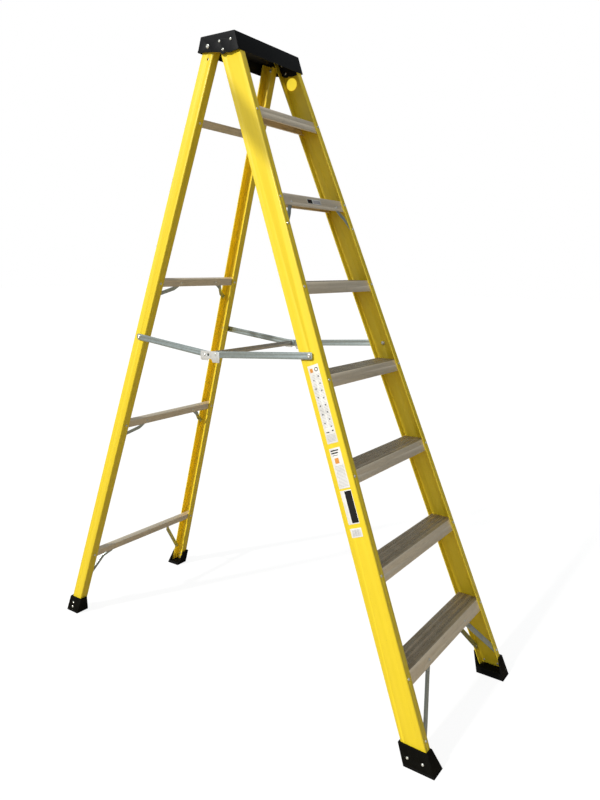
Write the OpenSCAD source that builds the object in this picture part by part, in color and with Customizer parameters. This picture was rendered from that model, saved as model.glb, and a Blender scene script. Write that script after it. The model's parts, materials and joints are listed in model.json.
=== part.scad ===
// Step ladder with a moulded top cap.
// Two channel-rail frames hinge at the cap. The front frame carries seven level treads,
// the rear frame carries four cross bars, and a folding spreader ties them on both sides.
// Lengths are in millimetres. The climbing side faces -Y and up is +Z.

/* [Front frame] */

// Lean of the front rails from upright
front_lean = 21.6; // [15:0.1:28]
// Distance from the middle to the front plane at the floor
front_reach = 830.8; // [500:0.1:1100]
// Half the width over the front rails at the floor
front_half_w = 322.9; // [250:0.1:400]
// Inward tilt of each front rail
front_splay = 3.6; // [1:0.1:5]
// Depth of the front rail web
front_web = 79; // [60:1:100]
// Width of the front rail flanges
front_flange = 26; // [18:1:40]
// Wall thickness of all rails
rail_wall = 3.6; // [2.5:0.1:5]
// Outer corner radius of all rails
rail_corner = 4; // [2:0.5:6]

/* [Rear frame] */

// Lean of the rear rails from upright
rear_lean = 16.5; // [12:0.1:22]
// Distance from the middle to the rear plane at the floor
rear_reach = 827.4; // [500:0.1:1100]
// Half the width over the rear rails at the floor
rear_half_w = 318.7; // [250:0.1:400]
// Inward tilt of each rear rail
rear_splay = 3.56; // [1:0.01:5]
// Depth of the rear rail web
rear_web = 50; // [40:1:70]
// Width of the rear rail flanges
rear_flange = 32; // [20:1:40]

/* [Treads] */

// Lowest tread, measured up the rails
first_tread = 293.9; // [200:0.1:400]
// Spacing of the treads up the rails
tread_pitch = 304.8; // [250:0.1:330]
// Length of the tread aprons
apron = 40.6; // [30:0.1:60]
// Wall thickness of the tread aprons
apron_wall = 2.6; // [2:0.1:4]
// Thickness of the tread top
tread_top = 3.6; // [2.5:0.1:6]
// Number of grip bands in the tread top
bands = 3; // [1:1:4]
// Number of fine grooves in one band
grooves = 4; // [2:1:5]
// Width of one groove
groove_w = 1.4; // [0.8:0.1:1.8]
// Spacing of the grooves
groove_pitch = 2.8; // [2:0.1:4]
// Depth of one groove
groove_d = 1.3; // [0.5:0.1:2]

/* [Cross bars] */

// Height of the rear cross bars
bar_tall = 28; // [20:1:40]
// Depth of the rear cross bars
bar_deep = 20; // [16:1:30]
// Wall of the rear cross bars
bar_wall = 2; // [1.5:0.1:3]
// Top of the highest bar, measured up the rails
bar_1_up = 2050.5; // [1900:0.1:2150]
// Top of the second bar
bar_2_up = 1469.3; // [1300:0.1:1600]
// Top of the third bar
bar_3_up = 892.6; // [750:0.1:1000]
// Top of the lowest bar
bar_4_up = 305.2; // [250:0.1:450]

/* [Flat braces] */

// Thickness of the flat braces
brace_thick = 2.5; // [1.5:0.1:4]
// Width of the short braces
short_brace_w = 16; // [12:1:24]
// Width of the long braces
long_brace_w = 21; // [14:1:28]

/* [Top cap] */

// Height of the cap above the floor
cap_top = 2215; // [2100:1:2300]
// Half width of the cap at its top edge
cap_half_top = 183; // [181:0.5:195]
// Half width of the cap at its lower edge
cap_half_low = 186.5; // [184:0.5:200]
// Wall of the cap skirt
cap_wall = 3.4; // [3:0.1:5]
// Depth of the tray in the cap
tray_deep = 3.5; // [1:0.5:5]

/* [Pivots] */

// Rear frame pivot, distance behind the middle
pivot_y = 154; // [140:0.5:170]
// Rear frame pivot, height
pivot_z = 2180; // [2170:0.5:2190]
// Front link pivot, distance behind the middle
front_pin_y = -323.5; // [-330:0.5:-310]
// Front link pivot, height
front_pin_z = 1178.5; // [1150:0.5:1200]
// Rear link pivot, distance behind the middle
rear_pin_y = 448.5; // [445:0.5:460]
// Rear link pivot, height
rear_pin_z = 1182; // [1150:0.5:1200]
// Spreader hinge, distance behind the middle
hinge_y = 96; // [80:0.5:120]
// Spreader hinge, height
hinge_z = 1145.5; // [1120:0.5:1170]

/* [Spreader] */

// Width of the links
link_w = 23; // [18:1:32]
// Thickness of the links
link_thick = 3; // [2:0.5:4]
// Inner face of the rear links
link_x = 244; // [243.5:0.1:246]
// Height of the flat crossbar
crossbar_tall = 19; // [12:1:19]
// Thickness of the flat crossbar
crossbar_thick = 5; // [4:0.5:8]
// Diameter of the crossbar ends
crossbar_d = 10; // [8:0.5:12]

/* [Shoes] */

// Height of the shoes
boot_tall = 67; // [50:1:90]
// Floor of the front shoes
front_boot_floor = 20; // [14:1:22]
// Floor of the rear shoes
rear_boot_floor = 12; // [10:1:14]
// Thickness of the rubber soles
sole_thick = 8; // [5:0.5:9]

/* [Fixings] */

// Rivet head radius
rivet_head = 4.7; // [4:0.1:7]
// Rivet shank radius
rivet_shank = 2.4; // [1.5:0.1:3]
// Clearance around fixed shanks and between fitted faces
fit = 0.1; // [0.05:0.01:0.2]
// Clearance around turning shanks
run_fit = 0.05; // [0.02:0.01:0.1]

/* [Output] */

// Sub-part to draw

/* [Hidden] */

$fn = 48;
front_slope = tan(front_lean);
rear_slope = tan(rear_lean);
front_y = -front_reach;
rear_y = rear_reach;
rail_top = 2199;
cap_low = 2143;
pivot_head = 7.4;
pivot_nut = 8;
bolt_head = 8;
bolt_nut = 7;
bolt_gap = 0.6;
bolt_end = -232;
tread_set = rail_wall + 2 * fit;
tread_depth = (front_web - rail_wall - fit * 2 - tread_set) / cos(front_lean);
apron_back = apron * sin(front_lean);
apron_drop = apron * cos(front_lean);
apron_w = apron_wall / cos(front_lean);
back_up = tread_depth * sin(front_lean);
rivet_drop = 16;
rivet_in = 11;
lip = 9;
lip_thick = 2.4;
notch_deep = 12;
apron_inner = tread_set + apron_wall + 0.05;
band_first = 17;
band_pitch = 21.5;
tab_thick = 3;
bar_rivet_drop = 14.5;
bar_rivet_in = 18;
bar_front = -rear_web + rail_wall + 2 * fit;
bar_back = bar_front + bar_deep;
link_end = 11;
link_corner = 5;
plate_rivet_front = 33;
plate_rivet_back = 17;
lug_x = 128;
lug_thick = 2.5;
strap_4_x = 158;
strap_4_drop = 36;
pivot_r = 5;
pin_r = 4;
hole_r = rivet_shank + fit;
front_link_len = sqrt(pow(hinge_y - front_pin_y, 2) + pow(hinge_z - front_pin_z, 2));
front_link_ang = atan2(hinge_z - front_pin_z, hinge_y - front_pin_y);
rear_link_len = sqrt(pow(hinge_y - rear_pin_y, 2) + pow(hinge_z - rear_pin_z, 2));
rear_link_ang = atan2(hinge_z - rear_pin_z, hinge_y - rear_pin_y);
front_link_x = link_x + link_thick + 0.5;
plate_x = front_link_x + link_thick;

// Upper strap rivet of cross bar k, distance from the middle
function strap_x(k) = k == 2 ? 98 : 133;

// Height of tread i up the front rails
function tread_up(i) = first_tread + tread_pitch * (7 - i);

// Half width over the front rails at a height up the rails
function front_half(s) = front_half_w - tan(front_splay) * s;

// Half width over the rear rails at a height up the rails
function rear_half(s) = rear_half_w - tan(rear_splay) * s;

// Outer face of the left front web at a place seen from the side
function front_web_x(y, z) = -front_half((y - front_y) * sin(front_lean) + z * cos(front_lean));

// Outer face of the left rear web at a place seen from the side
function rear_web_x(y, z) = -rear_half((rear_y - y) * sin(rear_lean) + z * cos(rear_lean));

// Side face of the cap at a height
function cap_side_x(z) =
    -cap_half_low + (cap_half_low - cap_half_top) * (z - cap_low) / (cap_top - cap_low);

// Top of cross bar k up the rear rails
function bar_up(k) = k == 1 ? bar_1_up : k == 2 ? bar_2_up : k == 3 ? bar_3_up : bar_4_up;

// Leaning frame of the front rails
module in_front() {
    translate([0, front_y, 0]) rotate([-front_lean, 0, 0]) children();
}

// Leaning frame of the rear rails
module in_rear() {
    translate([0, rear_y, 0]) rotate([rear_lean, 0, 0]) children();
}

// Frame of the left front rail, X inward, Y across the web, Z up the rail
module front_rail_frame() {
    in_front() translate([-front_half_w, 0, 0]) rotate([0, front_splay, 0]) children();
}

// Frame of the left rear rail
module rear_rail_frame() {
    in_rear() translate([-rear_half_w, 0, 0]) rotate([0, rear_splay, 0]) children();
}

// Children on both sides
module both() {
    children();
    mirror([1, 0, 0]) children();
}

// Right hand copy
module right() {
    mirror([1, 0, 0]) children();
}

// Side outline drawn in Y and Z, extruded along X
module along_x(x0, x1) {
    translate([x0, 0, 0]) rotate([90, 0, 90]) linear_extrude(height = x1 - x0) children();
}

// Front outline drawn in X and Z, extruded along Y
module along_y(y0, y1) {
    translate([0, y1, 0]) rotate([90, 0, 0]) linear_extrude(height = y1 - y0) children();
}

// Round bar along X at a given place
module pin_x(y, z, r, x0, x1) {
    translate([x0, y, z]) rotate([0, 90, 0]) cylinder(r = r, h = x1 - x0);
}

// Round bar along local Y at a given place
module pin_y(x, z, r, y0, y1) {
    translate([x, y0, z]) rotate([-90, 0, 0]) cylinder(r = r, h = y1 - y0);
}

// Channel section with rounded outer corners
module rail_section(deep, flange) {
    difference() {
        union() {
            translate([rail_corner, 0]) square([flange - rail_corner, deep]);
            translate([0, rail_corner]) square([flange, deep - 2 * rail_corner]);
            translate([rail_corner, rail_corner]) circle(r = rail_corner);
            translate([rail_corner, deep - rail_corner]) circle(r = rail_corner);
        }
        translate([rail_wall, rail_wall]) square([flange, deep - 2 * rail_wall]);
    }
}

// Rivet through a flange, head on the low Y side
module rivet_y(x, z, grip) {
    pin_y(x, z, rivet_head, -2.4, -0.02);
    pin_y(x, z, rivet_shank, -1, grip + 1);
    pin_y(x, z, rivet_shank + 1.3, grip + 0.02, grip + 1.8);
}

// Rivet through a web, head outside x0 on the left and tail inside x1
module rivet_x(y, z, x0, x1) {
    pin_x(y, z, rivet_head, x0 - 2.4, x0);
    pin_x(y, z, rivet_shank, x0 - 1, x1 + 1);
    pin_x(y, z, rivet_shank + 1.3, x1, x1 + 1.8);
}

// Flange rivet places of the treads on the left, front then back
module tread_rivet_places() {
    for (i = [1:7]) {
        s = tread_up(i) - rivet_drop;
        b = tread_up(i) + back_up - rivet_drop;
        translate([-front_half(s) + rivet_in, 0, s]) children();
        translate([-front_half(b) + rivet_in, front_web, b]) mirror([0, 1, 0]) children();
    }
}

// Brace rivet places on the left flanges of the front frame
module brace_flange_places() {
    translate([-203, 0, tread_up(2) - 108]) children();
    translate([-302, 0, 98]) children();
    translate([-301, front_web, 116]) mirror([0, 1, 0]) children();
}

// Left front rail
module front_rail() {
    difference() {
        front_rail_frame() linear_extrude(height = 2460) rail_section(front_web, front_flange);
        translate([-500, -1200, rail_top]) cube([1000, 2400, 400]);
        translate([-500, -1200, -300]) cube([1000, 2400, 300 + front_boot_floor + fit]);
        in_front() tread_rivet_places() pin_y(0, 0, hole_r, -1, 6);
        in_front() brace_flange_places() pin_y(0, 0, hole_r, -1, 6);
        cap_rivet_places() pin_x(0, 0, hole_r, -200, -160);
        front_boot_rivet_places() pin_x(0, 0, hole_r, -335, -305);
        pin_x(front_pin_y, front_pin_z, pin_r + fit, -250, -230);
    }
}

module front_stile_left() {
    color("gold") front_rail();
}

module front_stile_right() {
    color("gold") right() front_rail();
}

// Outline of one tread, front top edge at the origin
module tread_outline() {
    difference() {
        polygon([
            [-apron_back, -apron_drop],
            [0, 0],
            [tread_depth, 0],
            [tread_depth - apron_back, -apron_drop],
            [tread_depth - apron_back - lip, -apron_drop],
            [tread_depth - apron_back - lip + lip_thick * front_slope, -apron_drop + lip_thick],
            [tread_depth - apron_back - apron_w + lip_thick * front_slope, -apron_drop + lip_thick],
            [tread_depth - apron_w - tread_top * front_slope, -tread_top],
            [apron_w - tread_top * front_slope, -tread_top],
            [apron_w - apron_back + lip_thick * front_slope, -apron_drop + lip_thick],
            [lip - apron_back + lip_thick * front_slope, -apron_drop + lip_thick],
            [lip - apron_back, -apron_drop]
        ]);
        for (b = [0:bands - 1]) {
            for (k = [0:grooves - 1]) {
                translate([band_first + b * band_pitch + k * groove_pitch, -groove_d])
                    square([groove_w, 5]);
            }
        }
    }
}

// Tread i between the rail webs
module tread(i) {
    s = tread_up(i);
    half = front_half(s + back_up) - rail_wall - 1.2;
    y = front_y + s * sin(front_lean) + tread_set * cos(front_lean);
    z = s * cos(front_lean) - tread_set * sin(front_lean);
    difference() {
        along_x(-half, half) translate([y, z]) tread_outline();
        in_front() both() tread_rivet_places() pin_y(0, 0, hole_r, 3, 9);
    }
}

module tread_1() {
    color("silver") tread(1);
}

// Notch in the lower lip that lets a brace through, right hand
module lip_notch(x0, x1, y, s) {
    in_front() translate([x0, y, s - apron - 6]) cube([x1 - x0, notch_deep, 16]);
}

module tread_2() {
    color("silver") difference() {
        tread(2);
        in_front() both() pin_y(139, tread_up(2) - 28.5, hole_r, 0, 9);
        both() lip_notch(130, 168, apron_inner, tread_up(2));
    }
}

module tread_3() {
    color("silver") tread(3);
}

module tread_4() {
    color("silver") tread(4);
}

module tread_5() {
    color("silver") tread(5);
}

module tread_6() {
    color("silver") tread(6);
}

module tread_7() {
    color("silver") difference() {
        tread(7);
        in_front() both() pin_y(147, tread_up(7) - 24.5, hole_r, 0, 9);
        in_front() both() pin_y(158, tread_up(7) + back_up - 24.5, hole_r, front_web - 9, front_web);
        both() lip_notch(138, 186, apron_inner, tread_up(7));
        both() lip_notch(148, 196, front_web - apron_inner - notch_deep, tread_up(7) + back_up);
    }
}

// Flat brace from (x0, z0) to (x1, z1), lying at y0 at the first end and y1 at the second,
// with its crank between the parts c0 and c1 of its length
module brace(x0, z0, x1, z1, y0, y1, width, c0, c1) {
    run = sqrt(pow(x1 - x0, 2) + pow(z1 - z0, 2));
    t = brace_thick;
    translate([x0, 0, z0]) rotate([0, atan2(z0 - z1, x1 - x0), 0]) difference() {
        intersection() {
            union() {
                translate([0, -60, -width / 2]) cube([run, 120, width]);
                pin_y(0, 0, width / 2, -60, 60);
                pin_y(run, 0, width / 2, -60, 60);
            }
            translate([0, 0, -width]) linear_extrude(height = 2 * width) polygon([
                [-width, y0],
                [run * c0, y0],
                [run * c1, y1],
                [run + width, y1],
                [run + width, y1 + t],
                [run * c1, y1 + t],
                [run * c0, y0 + t],
                [-width, y0 + t]
            ]);
        }
        pin_y(0, 0, hole_r, -60, 60);
        pin_y(run, 0, hole_r, -60, 60);
    }
}

// Short brace under the second tread, right hand
module short_brace() {
    s = tread_up(2);
    deep = tread_set + apron_wall + fit;
    in_front() brace(139, s - 28.5, 203, s - 108, deep, rail_wall + fit, short_brace_w, 0.28, 0.48);
}

module tread_2_brace_left() {
    color("lightgray") right() short_brace();
}

module tread_2_brace_right() {
    color("lightgray") short_brace();
}

// Long brace under the lowest tread, front, right hand
module long_front_brace() {
    s = tread_up(7);
    deep = tread_set + apron_wall + fit;
    in_front() difference() {
        brace(147, s - 24.5, 302, 98, deep, rail_wall + fit, long_brace_w, 0.2, 0.8);
        pin_y(168.7, s - 48.5, hole_r, 0, 20);
    }
}

module front_brace_left() {
    color("lightgray") right() long_front_brace();
}

module front_brace_right() {
    color("lightgray") long_front_brace();
}

// Long brace under the lowest tread, back, right hand
module long_back_brace() {
    s = tread_up(7) + back_up;
    deep = tread_set + apron_wall + fit;
    in_front() translate([0, front_web, 0]) mirror([0, 1, 0])
        brace(158, s - 24.5, 301, 116, deep, rail_wall + fit, long_brace_w, 0.2, 0.8);
}

module back_brace_left() {
    color("lightgray") right() long_back_brace();
}

module back_brace_right() {
    color("lightgray") long_back_brace();
}

// Side rivet places of the cap on the left
module cap_rivet_places() {
    translate([0, 103, 2189]) children();
    translate([0, 54.3, 2188.5]) children();
    translate([0, 85.9, 2160.4]) children();
}

// Side outline of the cap
module cap_outline() {
    polygon([[20, 2153], [40, cap_top], [187.5, cap_top], [199.5, 2166], [134, 2159], [60, 2147]]);
    translate([85.9, 2160.4]) circle(r = 14.5);
}

// Cap without its tabs
module cap_shell() {
    difference() {
        union() {
            intersection() {
                along_x(-200, 200) cap_outline();
                along_y(-300, 300) polygon([
                    [-cap_half_low, cap_low],
                    [cap_half_low, cap_low],
                    [cap_half_top, cap_top],
                    [-cap_half_top, cap_top]
                ]);
            }
            pin_x(196.6, 2168.4, 4, -185, 185);
        }
        difference() {
            intersection() {
                along_x(-200, 200) polygon([
                    [front_y + 2100 * front_slope - 2 * fit, 2100],
                    [front_y + 2203 * front_slope - 2 * fit, 2203],
                    [186.6, 2203],
                    [195.5, 2166],
                    [195.5, 2100]
                ]);
                along_y(-300, 300) polygon([
                    [-cap_half_low + cap_wall, 2100],
                    [-cap_half_low + cap_wall, cap_low],
                    [-cap_half_top + cap_wall, cap_top],
                    [cap_half_top - cap_wall, cap_top],
                    [cap_half_low - cap_wall, cap_low],
                    [cap_half_low - cap_wall, 2100]
                ]);
            }
            both() difference() {
                cap_rivet_places() pin_x(0, 0, 8, -184, -170);
                front_rail_frame() translate([-fit, -10, 2200]) cube([40, 120, 300]);
            }
        }
        both() cap_rivet_places() pin_x(0, 0, hole_r, -200, -160);
        pin_x(pivot_y, pivot_z, pivot_r + run_fit, -200, 200);
        cap_tray();
    }
}

module top_cap() {
    color("dimgray") union() {
        cap_shell();
        both() cap_tab();
    }
}

// Tab of the cap on the inner side of the left front web
module cap_tab() {
    difference() {
        intersection() {
            along_x(-200, -100) cap_outline();
            front_rail_frame() translate([rail_wall + fit, rail_wall + fit, 2150])
                cube([tab_thick, front_web - 2 * rail_wall - 2 * fit, 400]);
            translate([-300, -100, 2100]) cube([600, 400, 104]);
        }
        cap_rivet_places() pin_x(0, 0, hole_r, -200, -140);
    }
}

// Shallow tray in the top of the cap
module cap_tray() {
    translate([-cap_half_top + 6, 47, cap_top - tray_deep]) cube([2 * cap_half_top - 12, 134, 20]);
}

// Shoe rivet places of the front rails on the left
module front_boot_rivet_places() {
    translate([0, -748.8, 31]) children();
    translate([0, -798, 31]) children();
}

// Shoe rivet places of the rear rails on the left
module rear_boot_rivet_places() {
    translate([0, 795.4, 43]) children();
    translate([0, 800, 23]) children();
}

// Outer shape of the left front shoe
module front_boot_shape() {
    intersection() {
        along_x(-330, -260) polygon([[-837, 0], [-737.5, 0], [-714.5, boot_tall], [-810, boot_tall]]);
        along_y(-900, -600) polygon([[-327, 0], [-267, 0], [-291, boot_tall], [-322.6, boot_tall]]);
    }
}

// Outer shape of the left rear shoe
module rear_boot_shape() {
    intersection() {
        along_x(-330, -260) polygon([[771.5, 0], [837, 0], [814.5, boot_tall], [749, boot_tall]]);
        along_y(700, 900) polygon([[-323, 0], [-267, 0], [-287.5, boot_tall], [-318.8, boot_tall]]);
    }
}

// Left front shoe, open on its inner side
module front_boot() {
    difference() {
        front_boot_shape();
        translate([-400, -900, -1]) cube([200, 300, 1 + sole_thick]);
        intersection() {
            front_rail_frame() translate([-fit, -fit, -20]) cube([90, front_web + 2 * fit, 200]);
            translate([-400, -900, front_boot_floor]) cube([200, 300, 100]);
        }
        front_boot_rivet_places() pin_x(0, 0, hole_r, -335, -305);
    }
}

module front_boot_left() {
    color("#222222") front_boot();
}

module front_boot_right() {
    color("#222222") right() front_boot();
}

// Left rear shoe, open on its inner side
module rear_boot() {
    difference() {
        rear_boot_shape();
        translate([-400, 600, -1]) cube([200, 300, 1 + sole_thick]);
        intersection() {
            rear_rail_frame() translate([-fit, -rear_web - fit, -20]) cube([90, rear_web + 2 * fit, 200]);
            translate([-400, 600, rear_boot_floor]) cube([200, 300, 100]);
        }
        rear_boot_rivet_places() pin_x(0, 0, hole_r, -335, -300);
    }
}

module rear_boot_left() {
    color("#222222") rear_boot();
}

module rear_boot_right() {
    color("#222222") right() rear_boot();
}

// Grooves across the underside of a sole, closed at its edges
module sole_grooves(y0, n) {
    for (k = [0:n - 1]) {
        translate([-321, y0 + 11 * k, -1]) cube([48, 3.5, 3]);
    }
}

// Left front rubber sole
module front_sole() {
    difference() {
        intersection() {
            front_boot_shape();
            translate([-400, -900, 0]) cube([200, 300, sole_thick]);
        }
        sole_grooves(-829, 8);
    }
}

module front_sole_left() {
    color("#333333") front_sole();
}

module front_sole_right() {
    color("#333333") right() front_sole();
}

// Left rear rubber sole
module rear_sole() {
    difference() {
        intersection() {
            rear_boot_shape();
            translate([-400, 600, 0]) cube([200, 300, sole_thick]);
        }
        sole_grooves(780, 5);
    }
}

module rear_sole_left() {
    color("#333333") rear_sole();
}

module rear_sole_right() {
    color("#333333") right() rear_sole();
}

module tread_rivets() {
    grip = tread_set + apron_wall;
    color("gainsboro") in_front() both() tread_rivet_places() rivet_y(0, 0, grip);
}

module tread_brace_rivets() {
    near = tread_set + apron_wall + fit + brace_thick;
    far = rail_wall + fit + brace_thick;
    s = tread_up(2);
    b = tread_up(7);
    color("gainsboro") in_front() both() {
        brace_flange_places() rivet_y(0, 0, far);
        translate([0, tread_set, 0]) rivet_y(-139, s - 28.5, near - tread_set);
        translate([0, tread_set, 0]) rivet_y(-147, b - 24.5, near - tread_set);
        translate([0, front_web - tread_set, 0]) mirror([0, 1, 0])
            rivet_y(-158, b + back_up - 24.5, near - tread_set);
    }
}

// Rivet through the cap side, the front web and the inner tab
module cap_rivet(y, z) {
    rivet_x(y, z, cap_side_x(z) - 0.35, front_web_x(y, z) + rail_wall + tab_thick + 0.5);
}

module cap_rivets() {
    color("gainsboro") both() {
        cap_rivet(103, 2189);
        cap_rivet(54.3, 2188.5);
        cap_rivet(85.9, 2160.4);
    }
}

module front_boot_rivets() {
    color("gainsboro") both() {
        rivet_x(-748.8, 31, -325.3, front_web_x(-748.8, 31) + rail_wall + 0.4);
        rivet_x(-798, 31, -325.3, front_web_x(-798, 31) + rail_wall + 0.4);
    }
}

module rear_boot_rivets() {
    color("gainsboro") both() {
        rivet_x(795.4, 43, -320.8, rear_web_x(795.4, 43) + rail_wall + 0.4);
        rivet_x(800, 23, -322, rear_web_x(800, 23) + rail_wall + 0.4);
    }
}

module cap_pivot_bolts() {
    color("gainsboro") both() {
        pin_x(pivot_y, pivot_z, pivot_head, -188.9, -185.5);
        pin_x(pivot_y, pivot_z, pivot_r, -186, -164);
        pin_x(pivot_y, pivot_z, pivot_nut, -172.4, -166);
    }
}

// Left pivot bolt of a link whose faces lie at x0 and x1, through a web with its outer face at web:
// head, shank, spacer between link and web, and nut inside the web
module link_bolt(y, z, x0, x1, web) {
    pin_x(y, z, bolt_head, x0 - 3, x0 - 0.1);
    pin_x(y, z, pin_r, x0 - 1, bolt_end);
    pin_x(y, z, bolt_nut, x1 + 0.1, web - bolt_gap);
    pin_x(y, z, bolt_nut, web + rail_wall + bolt_gap, bolt_end - 2);
}

module front_spreader_bolts() {
    web = front_web_x(front_pin_y, front_pin_z);
    color("gainsboro") both() link_bolt(front_pin_y, front_pin_z, -plate_x, -front_link_x, web);
}

module rear_spreader_bolts() {
    web = rear_web_x(rear_pin_y, rear_pin_z);
    color("gainsboro") both() link_bolt(rear_pin_y, rear_pin_z, -link_x - link_thick, -link_x, web);
}

module label_plates() {
    color("white") front_rail_frame() {
        translate([-0.5, 19, 1004]) cube([0.48, 41, 251]);
        translate([-0.5, 19, 862]) cube([0.48, 41, 127]);
        translate([-0.5, 19, 751]) cube([0.48, 41, 105]);
        translate([-0.5, 19, 710]) cube([0.48, 41, 28]);
    }
}

module tread_plate() {
    color("white") in_front() translate([-42, tread_set - 0.45, tread_up(2) - 27]) cube([84, 0.43, 18]);
}

module rail_disc() {
    color("yellow") right() front_rail_frame() translate([rail_wall + 0.02, 49.4, 2305]) rotate([0, 90, 0])
        cylinder(r = 22, h = 1.6);
}

// Flange rivet places of the cross bars on the left
module bar_rivet_places() {
    for (k = [1:4]) {
        s = bar_up(k) - bar_rivet_drop;
        translate([-rear_half(s) + bar_rivet_in, -rear_web, s]) children();
    }
}

// Brace rivet places on the left rear flanges
module bar_brace_places() {
    translate([-216, 0, 1376]) children();
    translate([-253, 0, 785]) children();
    translate([-287, 0, 94]) children();
}

// Left rear rail
module rear_rail() {
    difference() {
        rear_rail_frame() mirror([0, 1, 0])
            linear_extrude(height = 2400) rail_section(rear_web, rear_flange);
        in_rear() translate([-500, -200, 2293.5]) cube([1000, 400, 300]);
        translate([-500, -1200, -300]) cube([1000, 2400, 300 + rear_boot_floor + fit]);
        in_rear() bar_rivet_places() pin_y(0, 0, hole_r, -1, 6);
        in_rear() bar_brace_places() pin_y(0, 0, hole_r, -6, 1);
        rear_boot_rivet_places() pin_x(0, 0, hole_r, -335, -300);
        pin_x(pivot_y, pivot_z, pivot_r + run_fit, -190, -160);
        pin_x(pivot_y + 5.3, pivot_z - 39, 4.5, -190, -160);
        pin_x(rear_pin_y, rear_pin_z, pin_r + fit, -250, -230);
    }
}

module rear_stile_left() {
    color("gold") rear_rail();
}

module rear_stile_right() {
    color("gold") right() rear_rail();
}

// Cross bar k, a channel open below between the rear webs
module rear_bar(k) {
    s = bar_up(k);
    half = rear_half(s) - rail_wall - 1.2;
    rivet_s = s - bar_rivet_drop;
    y0 = bar_front - 1;
    y1 = bar_front + bar_wall + 1;
    in_rear() difference() {
        translate([-half, bar_front, s - bar_tall]) cube([2 * half, bar_deep, bar_tall]);
        translate([-half - 1, bar_front + bar_wall, s - bar_tall - 1])
            cube([2 * half + 2, bar_deep - 2 * bar_wall, bar_tall - bar_wall + 1]);
        both() pin_y(-rear_half(rivet_s) + bar_rivet_in, rivet_s, hole_r, y0, y1);
        if (k == 2 || k == 3) both() pin_y(-strap_x(k), rivet_s, hole_r, y0, y1);
        if (k == 4) both() pin_y(-lug_x, rivet_s, hole_r, bar_back - bar_wall - 1, bar_back + 1);
    }
}

module rear_bar_1() {
    color("silver") rear_bar(1);
}

module rear_bar_2() {
    color("silver") rear_bar(2);
}

module rear_bar_3() {
    color("silver") rear_bar(3);
}

module rear_bar_4() {
    color("silver") rear_bar(4);
}

// Right hand strap from inside the front wall of cross bar k to the rear flange
module bar_brace(k, x1, low) {
    y0 = bar_front + bar_wall + fit;
    y1 = -rail_wall - fit - brace_thick;
    in_rear() brace(strap_x(k), bar_up(k) - bar_rivet_drop, x1, low, y0, y1, short_brace_w, 0.28, 0.8);
}

// Right hand strap from the lug of the lowest cross bar to the rear flange
module low_brace() {
    y0 = bar_back + fit + lug_thick + fit;
    y1 = -rail_wall - fit - brace_thick;
    in_rear() brace(strap_4_x, bar_4_up - strap_4_drop, 287, 94, y0, y1, short_brace_w, 0.08, 0.25);
}

// Right hand lug on the back wall of the lowest cross bar
module low_lug() {
    s = bar_4_up;
    in_rear() difference() {
        along_y(bar_back + fit, bar_back + fit + lug_thick) polygon([
            [lug_x - 14, s - 6],
            [lug_x + 26, s - 6],
            [strap_4_x + 10, s - 30],
            [strap_4_x + 10, s - 45],
            [strap_4_x - 16, s - 45],
            [lug_x - 14, s - 27]
        ]);
        pin_y(lug_x, s - bar_rivet_drop, hole_r, bar_back - 1, 0);
        pin_y(strap_4_x, s - strap_4_drop, hole_r, bar_back - 1, 0);
    }
}

module bar_2_brace_left() {
    color("lightgray") right() bar_brace(2, 216, 1376);
}

module bar_2_brace_right() {
    color("lightgray") bar_brace(2, 216, 1376);
}

module bar_3_brace_left() {
    color("lightgray") right() bar_brace(3, 253, 785);
}

module bar_3_brace_right() {
    color("lightgray") bar_brace(3, 253, 785);
}

module bar_4_brace_left() {
    color("lightgray") right() low_brace();
}

module bar_4_brace_right() {
    color("lightgray") low_brace();
}

module bar_4_lug_left() {
    color("lightgray") right() low_lug();
}

module bar_4_lug_right() {
    color("lightgray") low_lug();
}

module bar_rivets() {
    grip = rail_wall + 2 * fit + bar_wall;
    color("gainsboro") in_rear() both() bar_rivet_places() rivet_y(0, 0, grip);
}

module bar_brace_rivets() {
    far = rail_wall + fit + brace_thick;
    near = bar_wall + fit + brace_thick;
    lug_back = bar_back + fit + lug_thick;
    strap_back = lug_back + fit + brace_thick;
    color("gainsboro") in_rear() both() {
        bar_brace_places() mirror([0, 1, 0]) rivet_y(0, 0, far);
        for (k = [2:3]) {
            translate([-strap_x(k), bar_front, bar_up(k) - bar_rivet_drop]) rivet_y(0, 0, near);
        }
        translate([-lug_x, lug_back, bar_4_up - bar_rivet_drop]) mirror([0, 1, 0])
            rivet_y(0, 0, bar_wall + fit + lug_thick);
        translate([-strap_4_x, strap_back, bar_4_up - strap_4_drop]) mirror([0, 1, 0])
            rivet_y(0, 0, lug_thick + fit + brace_thick);
    }
}

// Flat link with round ends in the Y and Z plane
module link_outline(run) {
    translate([0, -link_w / 2]) square([run, link_w]);
    circle(r = link_w / 2);
    translate([run, 0]) circle(r = link_w / 2);
}

// Flat link with a square end at the pivot and a round end at the hinge
module square_link_outline(run) {
    translate([-link_end + link_corner, -link_w / 2]) square([run + link_end - link_corner, link_w]);
    translate([-link_end, -link_w / 2 + link_corner]) square([link_end, link_w - 2 * link_corner]);
    for (side = [-1, 1]) {
        translate([-link_end + link_corner, side * (link_w / 2 - link_corner)]) circle(r = link_corner);
    }
    translate([run, 0]) circle(r = link_w / 2);
}

// Left front link
module front_link() {
    along_x(-front_link_x - link_thick, -front_link_x) translate([front_pin_y, front_pin_z])
        rotate(front_link_ang) difference() {
            square_link_outline(front_link_len);
            circle(r = pin_r + run_fit);
            translate([front_link_len, 0]) circle(r = crossbar_d / 2);
            translate([front_link_len - plate_rivet_front, 0]) circle(r = hole_r);
        }
}

module front_link_left() {
    color("slategray") front_link();
}

module front_link_right() {
    color("slategray") right() front_link();
}

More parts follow.
